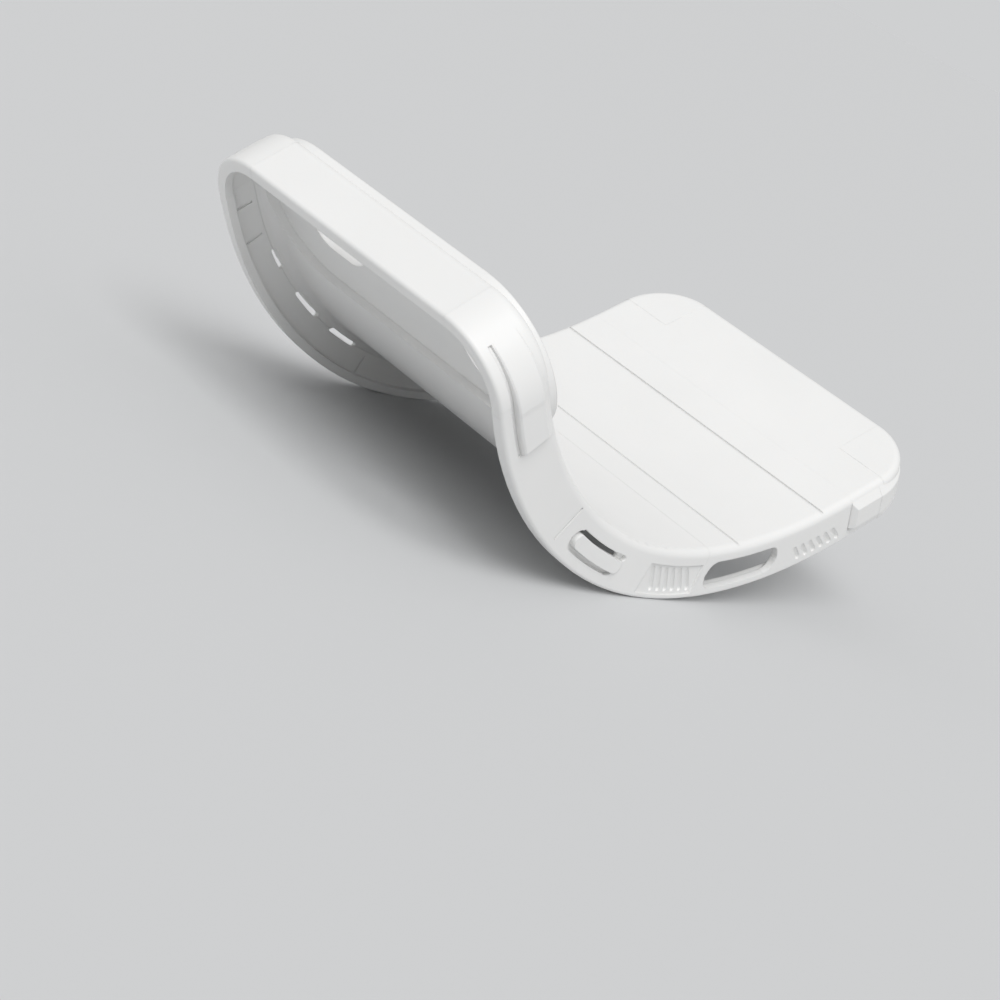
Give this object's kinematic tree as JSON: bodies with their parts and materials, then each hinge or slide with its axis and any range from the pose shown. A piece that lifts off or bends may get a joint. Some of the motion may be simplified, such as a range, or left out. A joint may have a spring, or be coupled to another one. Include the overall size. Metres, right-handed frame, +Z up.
{
  "type": "phone case",
  "caption": "White soft shockproof phone case with corner bumpers and a raised camera surround, shown flexed.",
  "frame": {"origin": "on the ground that the rim rests on, under the middle of the case's length and width as it lies", "axes": "+Z up from the ground, +X towards the bottom end of the case, -Y towards the wall with the power button"},
  "size_m": [0.154, 0.081, 0.0488],
  "materials": {
    "soft_shell": "satin white thermoplastic polyurethane"
  },
  "bodies": {
    "root": {"case": "soft_shell"}
  },
  "joints": []
}
